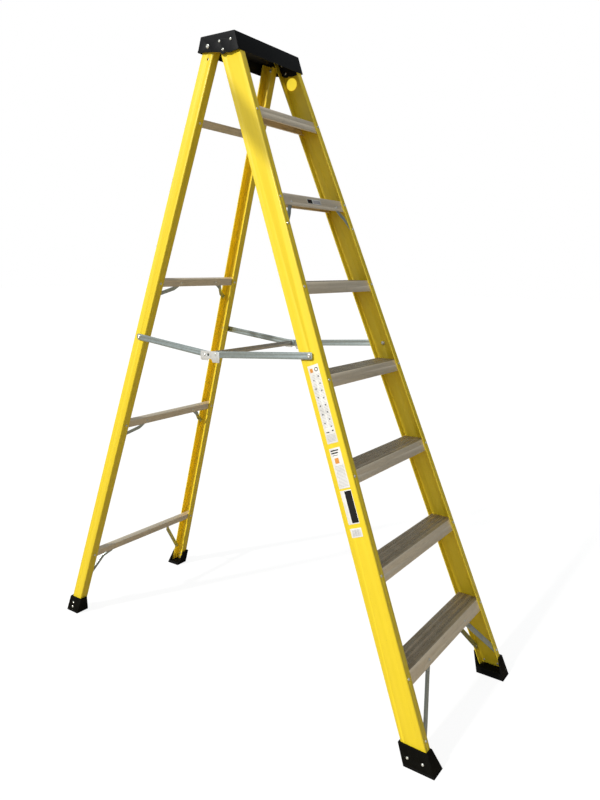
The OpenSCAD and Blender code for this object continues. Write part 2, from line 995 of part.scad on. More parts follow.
// Left rear link
module rear_link() {
    along_x(-link_x - link_thick, -link_x) translate([rear_pin_y, rear_pin_z])
        rotate(rear_link_ang) difference() {
            link_outline(rear_link_len);
            circle(r = pin_r + run_fit);
            translate([rear_link_len, 0]) circle(r = crossbar_d / 2 - 1 + fit);
        }
}

module rear_link_left() {
    color("slategray") rear_link();
}

module rear_link_right() {
    color("slategray") right() rear_link();
}

// Left hinge plate, riveted to the outer face of the front link, with a half-round notch below
module hinge_plate() {
    along_x(-plate_x - 2.6, -plate_x - 0.02) translate([hinge_y, hinge_z]) difference() {
        union() {
            translate([-51, -20]) square([80, 33]);
            translate([-46, -25]) square([36, 6]);
            translate([-46, -20]) circle(r = 5);
            translate([28, -14]) square([7, 27]);
            translate([29, -14]) circle(r = 6);
        }
        circle(r = crossbar_d / 2);
        translate([-8, -25]) circle(r = 12);
        translate([-plate_rivet_front * cos(front_link_ang), -plate_rivet_front * sin(front_link_ang)])
            circle(r = hole_r);
        translate([plate_rivet_back, 0]) circle(r = hole_r);
    }
}

module hinge_plate_left() {
    color("lightgray") hinge_plate();
}

module hinge_plate_right() {
    color("lightgray") right() hinge_plate();
}

module hinge_rivets() {
    y0 = hinge_y - plate_rivet_front * cos(front_link_ang);
    z0 = hinge_z - plate_rivet_front * sin(front_link_ang);
    y1 = hinge_y + plate_rivet_back;
    color("gainsboro") both() {
        pin_x(y0, z0, 4.5, -plate_x - 5, -plate_x - 2.65);
        pin_x(y0, z0, rivet_shank, -plate_x - 4, -front_link_x + 0.2);
        pin_x(y1, hinge_z, 4.5, -plate_x - 5, -plate_x - 2.65);
        pin_x(y1, hinge_z, rivet_shank, -plate_x - 4, -plate_x + 0.2);
    }
}

module crossbar() {
    color("gray") {
        translate([-link_x + 0.1, hinge_y - crossbar_thick / 2, hinge_z - crossbar_tall / 2])
            cube([2 * link_x - 0.2, crossbar_thick, crossbar_tall]);
        pin_x(hinge_y, hinge_z, crossbar_d / 2 - 1, -link_x - link_thick - 0.2, link_x + link_thick + 0.2);
    }
}

front_stile_left();
front_stile_right();
top_cap();
tread_1();
tread_2();
tread_3();
tread_4();
tread_5();
tread_6();
tread_7();
tread_2_brace_left();
tread_2_brace_right();
front_brace_left();
front_brace_right();
back_brace_left();
back_brace_right();
front_boot_left();
front_boot_right();
front_sole_left();
front_sole_right();
tread_rivets();
tread_brace_rivets();
cap_rivets();
front_boot_rivets();
cap_pivot_bolts();
front_spreader_bolts();
label_plates();
tread_plate();
rail_disc();
rear_stile_left();
rear_stile_right();
rear_bar_1();
rear_bar_2();
rear_bar_3();
rear_bar_4();
bar_2_brace_left();
bar_2_brace_right();
bar_3_brace_left();
bar_3_brace_right();
bar_4_brace_left();
bar_4_brace_right();
bar_4_lug_left();
bar_4_lug_right();
rear_boot_left();
rear_boot_right();
rear_sole_left();
rear_sole_right();
bar_rivets();
bar_brace_rivets();
rear_boot_rivets();
rear_spreader_bolts();
front_link_left();
front_link_right();
hinge_plate_left();
hinge_plate_right();
hinge_rivets();
rear_link_left();
rear_link_right();
crossbar();
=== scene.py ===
import json
import math

import bmesh
import bpy
import numpy as np
from mathutils import Matrix, Vector

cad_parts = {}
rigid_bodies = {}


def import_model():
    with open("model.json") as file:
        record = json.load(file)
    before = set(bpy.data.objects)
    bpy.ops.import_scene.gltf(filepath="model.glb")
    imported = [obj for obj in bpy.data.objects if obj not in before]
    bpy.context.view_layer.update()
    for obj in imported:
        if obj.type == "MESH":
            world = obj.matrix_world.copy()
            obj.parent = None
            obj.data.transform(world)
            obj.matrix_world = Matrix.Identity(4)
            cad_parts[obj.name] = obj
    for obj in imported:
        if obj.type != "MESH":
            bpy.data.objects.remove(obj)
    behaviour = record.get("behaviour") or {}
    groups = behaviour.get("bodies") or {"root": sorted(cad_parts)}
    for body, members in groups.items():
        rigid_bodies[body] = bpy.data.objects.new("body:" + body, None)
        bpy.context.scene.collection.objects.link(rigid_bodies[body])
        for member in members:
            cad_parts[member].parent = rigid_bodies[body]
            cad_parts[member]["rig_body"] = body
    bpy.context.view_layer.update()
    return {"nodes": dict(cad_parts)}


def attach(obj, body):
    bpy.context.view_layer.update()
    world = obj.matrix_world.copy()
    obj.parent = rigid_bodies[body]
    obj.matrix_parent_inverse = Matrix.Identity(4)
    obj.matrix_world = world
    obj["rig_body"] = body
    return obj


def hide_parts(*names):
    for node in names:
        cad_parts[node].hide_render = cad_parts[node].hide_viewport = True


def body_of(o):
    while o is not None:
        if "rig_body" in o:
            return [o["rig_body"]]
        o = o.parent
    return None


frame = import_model()
nodes = frame["nodes"]

# ---------------------------------------------------------------- camera
CAMERA_AT = (-2.03741, -1.52291, 1.46453)
CAMERA_YAW, CAMERA_PITCH, CAMERA_ROLL = 55.2, -8.81, 0.94
CAMERA_LENS = 31.285
CAMERA_SHIFT = (0.0031, -0.0365)

# ---------------------------------------------------------------- sizes of the ladder, in metres
MM = 0.001
# How far the rails lean back or forward, and how far they close in towards the top
FRONT_LEAN, REAR_LEAN = math.radians(21.6), math.radians(16.5)
FRONT_SPLAY, REAR_SPLAY = math.radians(3.6), math.radians(3.56)
# Floor points of the front rails: forward of the middle, and the outside of the left web
FRONT_REACH = 0.8308
FRONT_WEB_X = -0.3229
# Treads: lowest height along the rails, spacing, and depth of the apron's front behind the rail edge
TREAD_LOW, TREAD_PITCH, TREAD_SET = 0.2939, 0.3048, 0.0038
# Grip bands on a tread: where the first starts, their pitch, and where a band fades out
BAND_FIRST, BAND_PITCH = 0.017, 0.0215
BAND_EARLY = 0.001
BAND_FADE = (0.0108, 0.0122)
# Plates and print on the outside of the left web, in millimetres from it
PRINT_FACE, PRINT_SUNK = -0.5, 0.02
PRINT_THIN, PRINT_BOLD = 0.06, 0.07
TRAY_TOP = 2.2115

# ---------------------------------------------------------------- light
SKY_DARK, SKY_BRIGHT = 0.07, 0.62
SUN_STRENGTH = 2.85
SUN_SPREAD = math.radians(3.5)
SUN_FROM = (-1.0, 0.31, 0.77)
# The flag: heights along the rail at its front and back edges, the edges themselves, and its distance
FLAG_FRONT, FLAG_BACK = (1.883, 2.054), (2.095, 2.296)
FLAG_EDGES = (-0.012, 0.091)
FLAG_AWAY = 0.7
FLAG_PASSES = 0.34
FLOOR_SIZE, FLOOR_DROP = 30, 0.0005


def make_camera():
    """The camera at the photograph's viewing angle: yaw turns from +Y towards +X."""
    yaw, pitch, roll = (math.radians(a) for a in (CAMERA_YAW, CAMERA_PITCH, CAMERA_ROLL))
    ahead = Vector((math.sin(yaw) * math.cos(pitch), math.cos(yaw) * math.cos(pitch), math.sin(pitch)))
    level = Vector((math.cos(yaw), -math.sin(yaw), 0.0))
    upright = level.cross(ahead)
    right = level * math.cos(roll) + upright * math.sin(roll)
    up = upright * math.cos(roll) - level * math.sin(roll)
    data = bpy.data.cameras.new("camera")
    data.sensor_width = 36.0
    data.lens = CAMERA_LENS
    data.shift_x, data.shift_y = CAMERA_SHIFT
    data.clip_end = 60.0
    camera = bpy.data.objects.new("camera", data)
    bpy.context.scene.collection.objects.link(camera)
    turn = Matrix((right, up, -ahead)).transposed().to_4x4()
    camera.matrix_world = Matrix.Translation(CAMERA_AT) @ turn
    bpy.context.scene.camera = camera


make_camera()


# ---------------------------------------------------------------- shader helpers
# Cosines between which a turning surface goes from fully worn to plain
EDGE_TURN = (0.84, 0.995)


class Shader:
    """A material's node tree with short calls for the nodes it needs."""

    def __init__(self, name):
        self.material = bpy.data.materials.new(name)
        self.material.use_nodes = True
        self.tree = self.material.node_tree
        self.bsdf = self.tree.nodes["Principled BSDF"]

    def node(self, kind, **settings):
        made = self.tree.nodes.new(kind)
        for key, value in settings.items():
            setattr(made, key, value)
        return made

    def link(self, source, target):
        self.tree.links.new(source, target)

    def place(self, scale=(1, 1, 1), turn=(0, 0, 0)):
        """Object coordinates, turned and then scaled."""
        coords = self.node("ShaderNodeTexCoord")
        turned = self.node("ShaderNodeMapping", vector_type="POINT")
        turned.inputs["Rotation"].default_value = turn
        scaled = self.node("ShaderNodeVectorMath", operation="MULTIPLY")
        scaled.inputs[1].default_value = scale
        self.link(coords.outputs["Object"], turned.inputs["Vector"])
        self.link(turned.outputs["Vector"], scaled.inputs[0])
        return scaled.outputs["Vector"]

    def noise(self, vector, scale, detail=3.0, rough=0.5, distortion=0.0):
        made = self.node("ShaderNodeTexNoise")
        made.inputs["Scale"].default_value = scale
        made.inputs["Detail"].default_value = detail
        made.inputs["Roughness"].default_value = rough
        made.inputs["Distortion"].default_value = distortion
        self.link(vector, made.inputs["Vector"])
        return made.outputs["Fac"]

    def ramp(self, source, *stops):
        """A colour ramp with (place, colour) stops."""
        made = self.node("ShaderNodeValToRGB")
        band = made.color_ramp
        while len(band.elements) < len(stops):
            band.elements.new(0.5)
        for element, (place, colour) in zip(band.elements, stops):
            element.position = place
            element.color = (*colour, 1.0)
        self.link(source, made.inputs["Fac"])
        return made.outputs["Color"]

    def range(self, source, low, high, from_low=0.0, from_high=1.0):
        made = self.node("ShaderNodeMapRange")
        made.inputs["From Min"].default_value = from_low
        made.inputs["From Max"].default_value = from_high
        made.inputs["To Min"].default_value = low
        made.inputs["To Max"].default_value = high
        self.link(source, made.inputs["Value"])
        return made.outputs["Result"]

    def mix(self, factor, a, b):
        made = self.node("ShaderNodeMix", data_type="RGBA")
        for source, target in ((factor, made.inputs["Factor"]), (a, made.inputs["A"]), (b, made.inputs["B"])):
            self.feed(source, target)
        return made.outputs["Result"]

    def math(self, operation, a, b):
        made = self.node("ShaderNodeMath", operation=operation)
        self.feed(a, made.inputs[0])
        self.feed(b, made.inputs[1])
        return made.outputs["Value"]

    def feed(self, source, target):
        """Sets a number or colour on a socket, or links another node's output to it."""
        if isinstance(source, (int, float)):
            target.default_value = source
        elif isinstance(source, tuple):
            target.default_value = (*source, 1.0)
        else:
            self.link(source, target)

    def edges(self, radius):
        """1 where the surface turns sharply and 0 on the flats."""
        soft = self.node("ShaderNodeBevel", samples=4)
        soft.inputs["Radius"].default_value = radius
        facing = self.node("ShaderNodeNewGeometry")
        dot = self.node("ShaderNodeVectorMath", operation="DOT_PRODUCT")
        self.link(soft.outputs["Normal"], dot.inputs[0])
        self.link(facing.outputs["Normal"], dot.inputs[1])
        return self.range(dot.outputs["Value"], 1.0, 0.0, *EDGE_TURN)

    def bump(self, height, strength, distance, before=None):
        made = self.node("ShaderNodeBump")
        made.inputs["Strength"].default_value = strength
        made.inputs["Distance"].default_value = distance
        self.link(height, made.inputs["Height"])
        if before is not None:
            self.link(before, made.inputs["Normal"])
        return made.outputs["Normal"]

    def surface(self, colour, rough, normal=None, **sockets):
        """Finishes the shader; other sockets are named with _ for a space."""
        self.feed(colour, self.bsdf.inputs["Base Color"])
        self.feed(rough, self.bsdf.inputs["Roughness"])
        if normal is not None:
            self.link(normal, self.bsdf.inputs["Normal"])
        for key, value in sockets.items():
            self.bsdf.inputs[key.replace("_", " ")].default_value = value
        return self.material


# ---------------------------------------------------------------- materials
def scaled(tint, by):
    """The colour made brighter or darker, kept within 1."""
    return tuple(min(1.0, by * c) for c in tint)


def rail_material(name, lean, splay):
    """Pultruded glass fibre: fine grain along the rail, faint mottling, scuffs and worn corners."""
    s = Shader(name)
    along = s.place(scale=(1, 1, 0.02), turn=(lean, -splay, 0))
    plain = s.place()
    grain = s.noise(along, 420, 4, 0.65)
    streak = s.noise(along, 60, 3, 0.5)
    mottle = s.noise(plain, 9, 4, 0.6)
    specks = s.noise(plain, 260, 2, 0.4)
    scuff = s.noise(s.place(scale=(1, 1, 0.16), turn=(lean, -splay, 0.3)), 85, 4, 0.7, 0.6)
    colour = s.ramp(streak, (0.3, (0.86, 0.65, 0.024)), (0.7, (0.92, 0.70, 0.032)))
    colour = s.mix(s.range(mottle, 0.0, 0.30, 0.45, 0.8), colour, (0.82, 0.62, 0.022))
    colour = s.mix(s.range(scuff, 0.0, 0.35, 0.66, 0.78), colour, (0.66, 0.50, 0.10))
    colour = s.mix(s.range(specks, 0.0, 0.5, 0.73, 0.8), colour, (0.33, 0.21, 0.03))
    worn = s.math("MULTIPLY", s.edges(0.0016), s.range(mottle, 0.25, 0.75, 0.35, 0.6))
    colour = s.mix(worn, colour, (0.95, 0.82, 0.22))
    rough = s.range(s.mix(0.5, grain, mottle), 0.32, 0.52, 0.3, 0.7)
    normal = s.bump(grain, 0.22, 0.0004)
    normal = s.bump(mottle, 0.10, 0.004, normal)
    return s.surface(colour, rough, normal, Specular_IOR_Level=0.4, Coat_Weight=0.12, Coat_Roughness=0.25)


GRIME = (0.10, 0.08, 0.05)
# Colour of the darker grip bands and of the painted shade over the tread tops
TREAD_BAND_AND_SHADE_TONE = (0.105, 0.062, 0.008)
STAIN = (0.16, 0.13, 0.09)
DUST = (0.10, 0.10, 0.095)


def tread_bands_and_top_shade(s, streaks):
    """Darker grip bands and painted shade over the tread top, from the distance behind the front plane."""
    coords = s.node("ShaderNodeTexCoord")
    behind = s.node("ShaderNodeVectorMath", operation="DOT_PRODUCT")
    behind.inputs[1].default_value = (0, math.cos(FRONT_LEAN), -math.sin(FRONT_LEAN))
    s.link(coords.outputs["Object"], behind.inputs[0])
    level = s.node("ShaderNodeSeparateXYZ")
    facing = s.node("ShaderNodeNewGeometry")
    s.link(facing.outputs["True Normal"], level.inputs["Vector"])
    deep = s.math("ADD", behind.outputs["Value"], FRONT_REACH * math.cos(FRONT_LEAN) - TREAD_SET)
    across = s.math("DIVIDE", deep, math.cos(FRONT_LEAN))
    inside = s.math("MODULO", s.math("SUBTRACT", across, BAND_FIRST - BAND_EARLY), BAND_PITCH)
    start = s.math("GREATER_THAN", across, BAND_FIRST - BAND_EARLY)
    band = s.math("MULTIPLY", start, s.range(inside, 1.0, 0.0, *BAND_FADE))
    # Painted shade: faces turned upwards are darkened in streaks all over, and further in the grip bands
    on_top = s.range(level.outputs["Z"], 0.0, 1.0, 0.4, 0.8)
    band_and_shade = s.math("ADD", s.math("MULTIPLY", band, 0.36), s.range(streaks, 0.44, 0.76, 0.38, 0.62))
    return s.math("MULTIPLY", on_top, band_and_shade)


def aluminium_material(name, tint, grooved=False):
    """Extruded aluminium: drawing lines along X, oxide clouds, scratches, grime, bright corners; on treads,
    darker grip bands and painted shade over the top.
    """
    s = Shader(name)
    plain = s.place()
    fine = s.noise(s.place(scale=(0.02, 1, 1)), 900, 4, 0.7)
    broad = s.noise(s.place(scale=(0.012, 1, 1)), 130, 3, 0.55)
    clouds = s.noise(plain, 22, 5, 0.62, 0.5)
    scuff = s.noise(s.place(scale=(1, 0.22, 0.22), turn=(0, 0, 0.4)), 210, 3, 0.55, 0.9)
    spots = s.noise(plain, 120, 3, 0.6)
    colour = s.ramp(broad, (0.25, scaled(tint, 0.93)), (0.75, tint))
    colour = s.mix(s.range(clouds, 0.0, 0.35, 0.46, 0.74), colour, scaled(tint, 0.76))
    colour = s.mix(s.range(spots, 0.0, 0.35, 0.64, 0.80), colour, GRIME)
    colour = s.mix(s.range(scuff, 0.0, 0.45, 0.68, 0.76), colour, scaled(tint, 1.3))
    if grooved:
        # Painted shade over the tread tops, with darker grip bands
        colour = s.mix(tread_bands_and_top_shade(s, s.mix(0.25, broad, clouds)), colour, TREAD_BAND_AND_SHADE_TONE)
    colour = s.mix(s.math("MULTIPLY", s.edges(0.0012), 0.5), colour, scaled(tint, 1.4))
    rough = s.range(s.mix(0.5, fine, clouds), 0.34, 0.62, 0.3, 0.7)
    normal = s.bump(fine, 0.30, 0.00025)
    normal = s.bump(clouds, 0.06, 0.002, normal)
    return s.surface(colour, rough, normal, Metallic=0.5)


def zinc_material(name, tint, rough_low=0.30, rough_high=0.5, metal=0.8):
    """Zinc plated steel strip: soft spangle, rolling lines, dull stains and bright corners."""
    s = Shader(name)
    plain = s.place()
    spangle = s.node("ShaderNodeTexVoronoi")
    spangle.inputs["Scale"].default_value = 130
    s.link(plain, spangle.inputs["Vector"])
    clouds = s.noise(plain, 34, 4, 0.6)
    fine = s.noise(s.place(scale=(1, 0.06, 1)), 700, 3, 0.6)
    stains = s.noise(plain, 95, 3, 0.65)
    colour = s.ramp(spangle.outputs["Color"], (0.1, scaled(tint, 0.88)), (0.9, tint))
    colour = s.mix(s.range(clouds, 0.0, 0.45, 0.5, 0.78), colour, scaled(tint, 0.72))
    colour = s.mix(s.range(stains, 0.0, 0.4, 0.64, 0.8), colour, STAIN)
    colour = s.mix(s.math("MULTIPLY", s.edges(0.0009), 0.55), colour, scaled(tint, 1.3))
    rough = s.range(s.mix(0.5, fine, clouds), rough_low, rough_high, 0.3, 0.7)
    normal = s.bump(fine, 0.18, 0.0002)
    return s.surface(colour, rough, normal, Metallic=metal)


def plastic_material(name, tint, grain_scale, rough_low, rough_high, bump=0.35, worn=DUST, shine=0.3):
    """Moulded plastic with a fine spark texture, a little dust and paler corners."""
    s = Shader(name)
    plain = s.place()
    grain = s.noise(plain, grain_scale, 3, 0.6)
    clouds = s.noise(plain, 18, 4, 0.6)
    colour = s.ramp(clouds, (0.3, scaled(tint, 0.8)), (0.75, scaled(tint, 1.2)))
    colour = s.mix(s.range(s.noise(plain, 75, 3, 0.7), 0.0, 0.10, 0.62, 0.85), colour, worn)
    colour = s.mix(s.math("MULTIPLY", s.edges(0.0018), s.range(clouds, 0.25, 0.8, 0.4, 0.6)), colour, worn)
    rough = s.range(s.mix(0.5, grain, clouds), rough_low, rough_high, 0.3, 0.7)
    normal = s.bump(grain, bump, 0.0004)
    return s.surface(colour, rough, normal, Specular_IOR_Level=shine)


rail_front_left = rail_material("rail_front_left", FRONT_LEAN, FRONT_SPLAY)
rail_front_right = rail_material("rail_front_right", FRONT_LEAN, -FRONT_SPLAY)
rail_rear_left = rail_material("rail_rear_left", -REAR_LEAN, REAR_SPLAY)
rail_rear_right = rail_material("rail_rear_right", -REAR_LEAN, -REAR_SPLAY)
tread_metal = aluminium_material("tread_metal", (0.92, 0.82, 0.66), grooved=True)
bar_metal = aluminium_material("bar_metal", (0.74, 0.66, 0.53))
zinc = zinc_material("zinc", (0.45, 0.52, 0.53))
plate_zinc = zinc_material("plate_zinc", (0.86, 0.88, 0.90), 0.26, 0.42, 0.45)
bar_zinc = zinc_material("bar_zinc", (0.58, 0.55, 0.50), 0.35, 0.55)
rivet_metal = zinc_material("rivet_metal", (0.82, 0.84, 0.80), 0.18, 0.34, 0.75)
cap_plastic = plastic_material("cap_plastic", (0.0065, 0.0075, 0.0095), 900, 0.5, 0.66,
                               worn=(0.03, 0.03, 0.03), shine=0.16)
boot_plastic = plastic_material("boot_plastic", (0.003, 0.003, 0.0022), 700, 0.55, 0.72,
                                worn=(0.014, 0.014, 0.012), shine=0.08)
sole_rubber = plastic_material("sole_rubber", (0.005, 0.005, 0.005), 500, 0.7, 0.9, bump=0.5,
                               worn=(0.03, 0.03, 0.028), shine=0.1)


def ink(name, tint, worn):
    """Matt print on a label."""
    return plastic_material(name, tint, 400, 0.35, 0.5, 0.1, worn)


label_white = plastic_material("label_white", (0.93, 0.93, 0.91), 400, 0.3, 0.45, 0.1, (0.70, 0.69, 0.66))
ink_dark = ink("ink_dark", (0.012, 0.012, 0.013), (0.05, 0.05, 0.05))
ink_grey = ink("ink_grey", (0.50, 0.50, 0.54), (0.62, 0.62, 0.62))
ink_orange = ink("ink_orange", (0.80, 0.32, 0.06), (0.80, 0.50, 0.30))
ink_red = ink("ink_red", (0.35, 0.035, 0.03), (0.45, 0.15, 0.12))
disc_yellow = plastic_material("disc_yellow", (0.98, 0.82, 0.06), 300, 0.3, 0.5, 0.1, (0.98, 0.90, 0.40))
# A weak glow makes the shaded disc as bright as the sunlit one in the photograph.
disc_surface = disc_yellow.node_tree.nodes["Principled BSDF"]
disc_surface.inputs["Emission Color"].default_value = (0.95, 0.72, 0.05, 1)
disc_surface.inputs["Emission Strength"].default_value = 0.75

# The first row whose word is in a node's name gives its material; the order matters.
MATERIALS = (
    ("front_stile_left", rail_front_left),
    ("front_stile_right", rail_front_right),
    ("rear_stile_left", rail_rear_left),
    ("rear_stile_right", rail_rear_right),
    ("top_cap", cap_plastic),
    ("brace", zinc),
    ("link", zinc),
    ("lug", zinc),
    ("plates", label_white),
    ("tread_plate", label_white),
    ("rail_disc", disc_yellow),
    ("tread_", tread_metal),
    ("rear_bar", bar_metal),
    ("boot", boot_plastic),
    ("sole", sole_rubber),
    ("hinge_plate", plate_zinc),
    ("crossbar", bar_zinc),
)


def material_of(name):
    return next(material for word, material in MATERIALS if word in name)


# ---------------------------------------------------------------- CAD nodes that stay
def bevel_of(name):
    """Width of the rounded edges: widest on the moulded parts, least on the label plates."""
    if name == "top_cap":
        return 0.0018
    if "boot" in name:
        return 0.0016
    if "label" in name or name == "tread_plate":
        return 0.0001
    return 0.0005


def finish_node(name, node):
    """Gives a CAD node its material, and soft edges by modifiers only."""
    node.data.materials.clear()
    node.data.materials.append(material_of(name))
    node.data.polygons.foreach_set("use_smooth", [True] * len(node.data.polygons))
    weld = node.modifiers.new("weld", "WELD")
    weld.merge_threshold = 0.00001
    flat = node.modifiers.new("flat", "DECIMATE")
    flat.decimate_type = "DISSOLVE"
    flat.angle_limit = math.radians(0.5)
    soft = node.modifiers.new("soft", "BEVEL")
    soft.width = bevel_of(name)
    soft.segments = 2
    soft.limit_method = "ANGLE"
    soft.angle_limit = math.radians(35)
    soft.harden_normals = True


def is_fixing(name):
    return "rivets" in name or "bolts" in name


for name, node in nodes.items():
    if not is_fixing(name):
        finish_node(name, node)


# ---------------------------------------------------------------- mesh helpers
def new_piece(name, bm, material, body):
    """Turns a bmesh into an object that rides on a body."""
    bmesh.ops.recalc_face_normals(bm, faces=bm.faces)
    mesh = bpy.data.meshes.new(name)
    bm.to_mesh(mesh)
    bm.free()
    mesh.materials.append(material)
    piece = bpy.data.objects.new(name, mesh)
    bpy.context.scene.collection.objects.link(piece)
    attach(piece, body)
    return piece


def add_lathe(bm, base, axis, profile, sides=28):
    """Turns (along, radius) pairs about the axis through base; a radius of 0 closes the end."""
    across = axis.orthogonal().normalized()
    other = axis.cross(across)
    rings = []
    for along, radius in profile:
        middle = base + axis * along
        if radius <= 0:
            rings.append([bm.verts.new(middle)])
            continue
        rings.append([
            bm.verts.new(middle + (across * math.cos(a) + other * math.sin(a)) * radius)
            for a in (math.tau * k / sides for k in range(sides))
        ])
    for low, high in zip(rings, rings[1:]):
        for k in range(sides):
            n = (k + 1) % sides
            if len(low) == 1:
                face = (low[0], high[k], high[n])
            elif len(high) == 1:
                face = (low[k], high[0], low[n])
            else:
                face = (low[k], high[k], high[n], low[n])
            bm.faces.new(face).smooth = True


def add_box(bm, place, low, high):
    """A closed box between two local corners, moved by the matrix place."""
    made = bmesh.ops.create_cube(bm, size=1.0)["verts"]
    for v in made:
        local = Vector([low[i] + (v.co[i] + 0.5) * (high[i] - low[i]) for i in range(3)])
        v.co = place @ local


# ---------------------------------------------------------------- domed rivets and bolts
def solids_of(node):
    """The places of the points, and the normals and areas of the faces, of each separate solid."""
    bm = bmesh.new()
    bm.from_mesh(node.data)
    bmesh.ops.remove_doubles(bm, verts=bm.verts, dist=0.000002)
    bm.normal_update()
    seen = set()
    for first in bm.verts:
        if first in seen:
            continue
        seen.add(first)
        group, queue = [], [first]
        while queue:
            v = queue.pop()
            group.append(v)
            for edge in v.link_edges:
                w = edge.other_vert(v)
                if w not in seen:
                    seen.add(w)
                    queue.append(w)
        faces = list(dict.fromkeys(f for v in group for f in v.link_faces))
        places = np.array([v.co for v in group])
        normals = np.array([f.normal for f in faces])
        areas = np.array([f.calc_area() for f in faces])
        yield places, normals, areas
    bm.free()


def axis_of(normals, areas):
    """The axis of a turned solid: its side normals all lie square to it."""
    spread = (normals * areas[:, None]).T @ normals
    values, vectors = np.linalg.eigh(spread)
    lone = 0 if values[1] - values[0] > values[2] - values[1] else 2
    return vectors[:, lone]


def steps_of(places, middle, axis):
    """The solid as (start, end, radius) steps along its axis."""
    along = (places - middle) @ axis
    radius = np.linalg.norm((places - middle) - np.outer(along, axis), axis=1)
    levels = []
    for a, r in sorted(zip(along, radius)):
        if not levels or a - levels[-1][0] > 0.00004:
            levels.append((a, []))
        levels[-1][1].append(r)
    steps = []
    for (a, ra), (b, rb) in zip(levels, levels[1:]):
        shared = [r for r in ra if min(abs(r - q) for q in rb) < 0.0001]
        if shared and b - a > 0.0001:
            steps.append((a, b, max(shared)))
    return steps


def domed(a, b, r):
    """Head profile with a rounded crown and a small dimple in its middle."""
    h = b - a
    shape = [(0.52, 0.0), (0.47, 0.20), (0.16, 0.30), (0.0, 0.42), (0.05, 0.58), (0.20, 0.76),
             (0.46, 0.92), (0.74, 0.99), (0.9, 1.0), (1.0, 0.97)]
    return [(a + h * t, r * q) for t, q in shape]


def chamfered(a, b, r):
    """Profile of a plain step from a to b with small chamfers at both ends."""
    c = min(0.3 * (b - a), 0.12 * r)
    return [(a, r - c), (a + c, r), (b - c, r), (b, r - c)]


def add_fixing(bm, places, normals, areas, bolt):
    """A rivet or bolt turned to the steps of its CAD solid: domed head, shank, and a hexagon nut."""
    axis = axis_of(normals, areas)
    middle = places.mean(axis=0)
    steps = steps_of(places, middle, axis)
    if steps[0][2] < steps[-1][2]:
        axis = -axis
        steps = [(-b, -a, r) for a, b, r in reversed(steps)]
    base, axis = Vector(middle), Vector(axis)
    nut = len(steps) - 2 if bolt and len(steps) > 3 else None
    profile = domed(*steps[0])
    shank = min(r for a, b, r in steps)
    for k, (a, b, r) in enumerate(steps[1:], 1):
        if k == nut:
            add_lathe(bm, base, axis, [(a, 0.0)] + chamfered(a, b, r) + [(b, 0.0)], 6)
            profile += [(a, shank), (b, shank)]
        else:
            profile += chamfered(a, b, r)
    profile.append((steps[-1][1], 0.0))
    add_lathe(bm, base, axis, profile)


for name in [n for n in nodes if is_fixing(n)]:
    bm = bmesh.new()
    for solid in solids_of(nodes[name]):
        add_fixing(bm, *solid, "bolts" in name)
    piece = new_piece(name + "_domed", bm, rivet_metal, body_of(nodes[name])[0])
    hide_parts(name)


# ---------------------------------------------------------------- frames of the rails
def front_frame_place():
    """Leaning frame of the front rails."""
    return Matrix.Translation((0, -FRONT_REACH, 0)) @ Matrix.Rotation(-FRONT_LEAN, 4, "X")


def front_rail_place():
    """Frame of the left front rail: X inward, Y across the web, Z up the rail."""
    splay = Matrix.Rotation(FRONT_SPLAY, 4, "Y")
    return front_frame_place() @ Matrix.Translation((FRONT_WEB_X, 0, 0)) @ splay


def add_blocks(bm, place, thick, blocks):
    """Thin blocks (y0, y1, z0, z1) in millimetres on the label plates of the left web."""
    for y0, y1, z0, z1 in blocks:
        add_box(bm, place, ((PRINT_FACE - thick) * MM, y0 * MM, z0 * MM),
                ((PRINT_FACE + PRINT_SUNK) * MM, y1 * MM, z1 * MM))


def add_ring(bm, web):
    """A plain ring near the top of the label."""
    place = web @ Matrix.Translation((-0.00056, 0.030, 1.239)) @ Matrix.Rotation(-math.pi / 2, 4, "Y")
    sides = 32
    lines = [[place @ Vector((math.cos(a) * radius, math.sin(a) * radius, 0))
              for a in (math.tau * k / sides for k in range(sides))] for radius in (0.0042, 0.0068)]
    depth = (web.to_3x3() @ Vector((1, 0, 0))) * 0.00005
    rows = [[bm.verts.new(p + shift) for p in line] for line in lines for shift in (depth * 0, depth)]
    for k in range(sides):
        n = (k + 1) % sides
        for a, b in ((0, 2), (2, 3), (3, 1), (1, 0)):
            bm.faces.new((rows[a][k], rows[b][k], rows[b][n], rows[a][n]))


